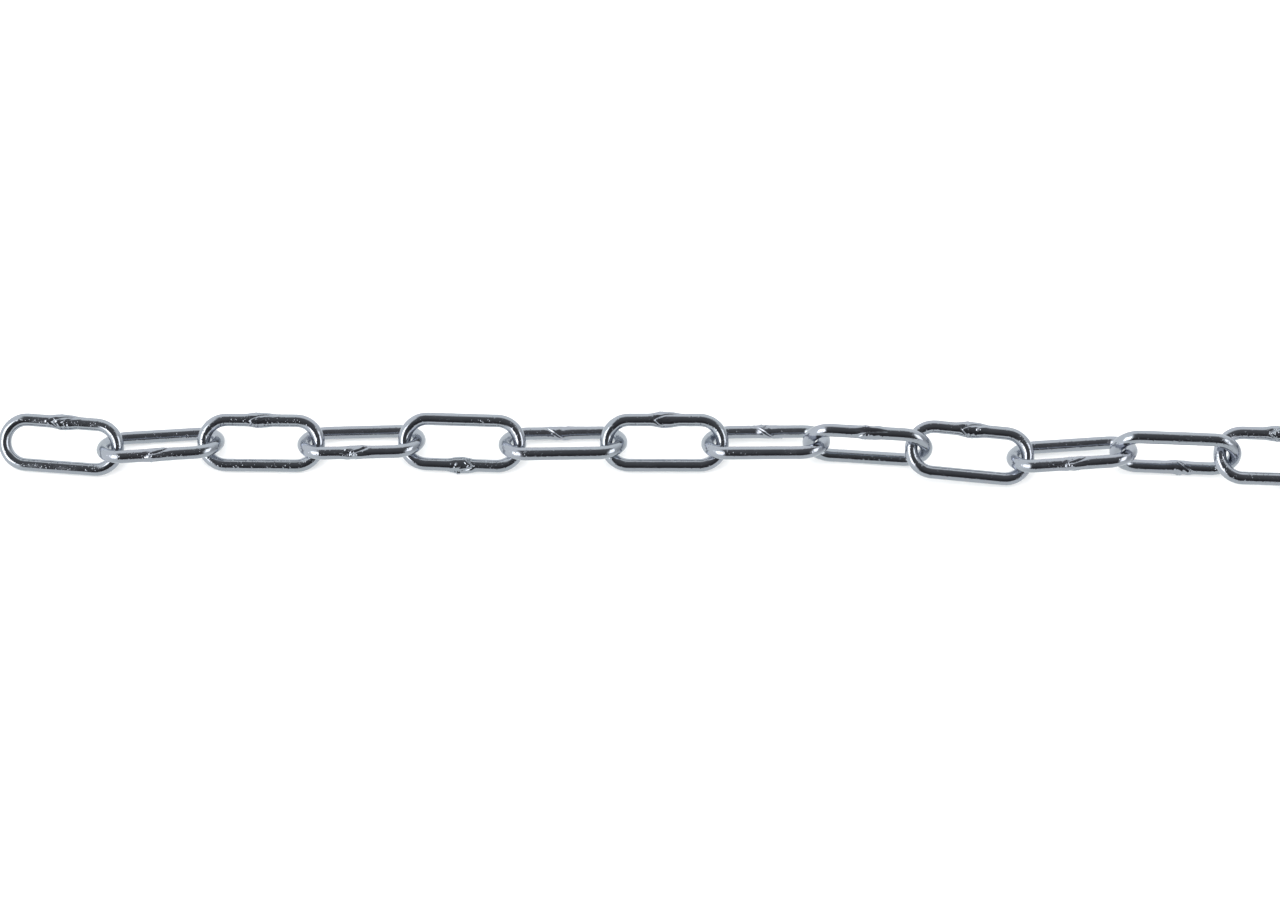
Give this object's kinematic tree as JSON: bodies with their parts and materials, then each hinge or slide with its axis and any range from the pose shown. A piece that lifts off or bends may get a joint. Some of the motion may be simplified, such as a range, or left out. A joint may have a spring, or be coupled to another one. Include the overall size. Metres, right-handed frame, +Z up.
{
  "type": "welded steel chain",
  "caption": "Length of welded long-link steel chain laid out on the floor, its round-wire links free to swing in one another; for hanging, barring off, lifting gates and tying down.",
  "frame": {"origin": "on the floor under the middle of the chain's bounding box", "axes": "+X along the laid chain from its first link to its last, +Z up"},
  "size_m": [0.9808, 0.0274, 0.0187],
  "materials": {
    "bright_zinc_plate": "bright zinc plating over drawn steel wire, glossy, with fine pits and scuffs and ground butt welds"
  },
  "bodies": {
    "link_01": {"link_01": "bright_zinc_plate"},
    "link_02": {"link_02": "bright_zinc_plate"},
    "link_03": {"link_03": "bright_zinc_plate"},
    "link_04": {"link_04": "bright_zinc_plate"},
    "link_05": {"link_05": "bright_zinc_plate"},
    "link_06": {"link_06": "bright_zinc_plate"},
    "link_07": {"link_07": "bright_zinc_plate"},
    "link_08": {"link_08": "bright_zinc_plate"},
    "link_09": {"link_09": "bright_zinc_plate"},
    "link_10": {"link_10": "bright_zinc_plate"},
    "link_11": {"link_11": "bright_zinc_plate"},
    "link_12": {"link_12": "bright_zinc_plate"},
    "link_13": {"link_13": "bright_zinc_plate"},
    "link_14": {"link_14": "bright_zinc_plate"},
    "link_15": {"link_15": "bright_zinc_plate"},
    "link_16": {"link_16": "bright_zinc_plate"},
    "link_17": {"link_17": "bright_zinc_plate"},
    "link_18": {"link_18": "bright_zinc_plate"},
    "link_19": {"link_19": "bright_zinc_plate"},
    "link_20": {"link_20": "bright_zinc_plate"},
    "link_21": {"link_21": "bright_zinc_plate"},
    "link_22": {"link_22": "bright_zinc_plate"},
    "link_23": {"link_23": "bright_zinc_plate"},
    "link_24": {"link_24": "bright_zinc_plate"},
    "link_25": {"link_25": "bright_zinc_plate"},
    "link_26": {"link_26": "bright_zinc_plate"},
    "link_27": {"link_27": "bright_zinc_plate"},
    "link_28": {"link_28": "bright_zinc_plate"},
    "link_29": {"link_29": "bright_zinc_plate"},
    "link_30": {"link_30": "bright_zinc_plate"},
    "link_31": {"link_31": "bright_zinc_plate"}
  },
  "joints": [
    {"name": "swing_02", "type": "hinge", "parent": "link_01", "child": "link_02", "pos_m": [-0.45693, -0.00407, 0.00596], "axis": [0.065, -0.8265, 0.5592], "range_deg": [-40, 40]},
    {"name": "swing_03", "type": "hinge", "parent": "link_02", "child": "link_03", "pos_m": [-0.42564, -0.00143, 0.00598], "axis": [0.0035, 0.848, 0.5299], "range_deg": [-40, 40]},
    {"name": "swing_04", "type": "hinge", "parent": "link_03", "child": "link_04", "pos_m": [-0.39424, -0.00148, 0.00572], "axis": [-0.0121, 0.848, -0.5298], "range_deg": [-40, 40]},
    {"name": "swing_05", "type": "hinge", "parent": "link_04", "child": "link_05", "pos_m": [-0.36285, -0.00054, 0.00636], "axis": [0.0222, 0.8478, 0.5299], "range_deg": [-40, 40]},
    {"name": "swing_06", "type": "hinge", "parent": "link_05", "child": "link_06", "pos_m": [-0.33146, -0.00148, 0.00636], "axis": [-0.0222, 0.8478, -0.5299], "range_deg": [-40, 40]},
    {"name": "swing_07", "type": "hinge", "parent": "link_06", "child": "link_07", "pos_m": [-0.30007, -0.00062, 0.00637], "axis": [-0.0056, 0.848, 0.5299], "range_deg": [-40, 40]},
    {"name": "swing_08", "type": "hinge", "parent": "link_07", "child": "link_08", "pos_m": [-0.26867, -0.00025, 0.00605], "axis": [-0.0757, -0.855, 0.513], "range_deg": [-40, 40]},
    {"name": "swing_09", "type": "hinge", "parent": "link_08", "child": "link_09", "pos_m": [-0.23741, -0.00128, 0.00905], "axis": [-0.0021, -0.0348, -0.9994], "range_deg": [-30, 30]},
    {"name": "swing_10", "type": "hinge", "parent": "link_09", "child": "link_10", "pos_m": [-0.20606, -0.00324, 0.00927], "axis": [0.0819, 0.8883, 0.4519], "range_deg": [-30, 30]},
    {"name": "swing_11", "type": "hinge", "parent": "link_10", "child": "link_11", "pos_m": [-0.17483, -0.00474, 0.00581], "axis": [-0.0499, -0.8201, 0.57], "range_deg": [-30, 30]},
    {"name": "swing_12", "type": "hinge", "parent": "link_11", "child": "link_12", "pos_m": [-0.14365, -0.00408, 0.00958], "axis": [0.0049, 0.1391, 0.9903], "range_deg": [-30, 30]},
    {"name": "swing_13", "type": "hinge", "parent": "link_12", "child": "link_13", "pos_m": [-0.11226, -0.00531, 0.00979], "axis": [-0.0081, -0.9341, -0.3569], "range_deg": [-30, 30]},
    {"name": "swing_14", "type": "hinge", "parent": "link_13", "child": "link_14", "pos_m": [-0.08101, -0.00457, 0.00673], "axis": [0.0448, -0.7418, 0.6691], "range_deg": [-40, 40]},
    {"name": "swing_15", "type": "hinge", "parent": "link_14", "child": "link_15", "pos_m": [-0.04967, -0.00264, 0.00675], "axis": [-0.0375, 0.9197, 0.3907], "range_deg": [-40, 40]},
    {"name": "swing_16", "type": "hinge", "parent": "link_15", "child": "link_16", "pos_m": [-0.0183, -0.00115, 0.00655], "axis": [0.0107, 0.766, -0.6428], "range_deg": [-40, 40]},
    {"name": "swing_17", "type": "hinge", "parent": "link_16", "child": "link_17", "pos_m": [0.0131, -0.00155, 0.00656], "axis": [0.0324, 0.9057, 0.4226], "range_deg": [-40, 40]},
    {"name": "swing_18", "type": "hinge", "parent": "link_17", "child": "link_18", "pos_m": [0.04448, -0.00268, 0.00636], "axis": [0.0097, -0.788, 0.6157], "range_deg": [-40, 40]},
    {"name": "swing_19", "type": "hinge", "parent": "link_18", "child": "link_19", "pos_m": [0.07588, -0.00241, 0.00638], "axis": [-0.0484, 0.8816, 0.4695], "range_deg": [-40, 40]},
    {"name": "swing_20", "type": "hinge", "parent": "link_19", "child": "link_20", "pos_m": [0.10722, -0.00049, 0.00607], "axis": [-0.0364, 0.8183, -0.5736], "range_deg": [-40, 40]},
    {"name": "swing_21", "type": "hinge", "parent": "link_20", "child": "link_21", "pos_m": [0.13859, 0.00103, 0.00604], "axis": [-0.0057, -0.848, -0.5299], "range_deg": [-40, 40]},
    {"name": "swing_22", "type": "hinge", "parent": "link_21", "child": "link_22", "pos_m": [0.16999, 0.00068, 0.00636], "axis": [0.0283, 0.8476, -0.5299], "range_deg": [-40, 40]},
    {"name": "swing_23", "type": "hinge", "parent": "link_22", "child": "link_23", "pos_m": [0.20137, -0.00046, 0.00636], "axis": [0.0091, -0.848, -0.5299], "range_deg": [-40, 40]},
    {"name": "swing_24", "type": "hinge", "parent": "link_23", "child": "link_24", "pos_m": [0.23277, -0.00024, 0.0064], "axis": [-0.0603, 0.846, -0.5298], "range_deg": [-40, 40]},
    {"name": "swing_25", "type": "hinge", "parent": "link_24", "child": "link_25", "pos_m": [0.26411, 0.00165, 0.00576], "axis": [0.0388, -0.8472, -0.5299], "range_deg": [-40, 40]},
    {"name": "swing_26", "type": "hinge", "parent": "link_25", "child": "link_26", "pos_m": [0.29547, 0.00322, 0.00576], "axis": [-0.0095, -0.848, 0.5299], "range_deg": [-40, 40]},
    {"name": "swing_27", "type": "hinge", "parent": "link_26", "child": "link_27", "pos_m": [0.32687, 0.00292, 0.00572], "axis": [0.0185, 0.8479, 0.5298], "range_deg": [-40, 40]},
    {"name": "swing_28", "type": "hinge", "parent": "link_27", "child": "link_28", "pos_m": [0.35825, 0.00176, 0.00636], "axis": [0.0077, -0.848, 0.5299], "range_deg": [-40, 40]},
    {"name": "swing_29", "type": "hinge", "parent": "link_28", "child": "link_29", "pos_m": [0.38965, 0.00193, 0.0064], "axis": [0.0395, -0.8472, -0.5298], "range_deg": [-40, 40]},
    {"name": "swing_30", "type": "hinge", "parent": "link_29", "child": "link_30", "pos_m": [0.42099, 0.0038, 0.00576], "axis": [0.0398, -0.8471, 0.5299], "range_deg": [-40, 40]},
    {"name": "swing_31", "type": "hinge", "parent": "link_30", "child": "link_31", "pos_m": [0.45235, 0.0054, 0.00576], "axis": [0.0083, 0.848, 0.5299], "range_deg": [-40, 40]}
  ]
}
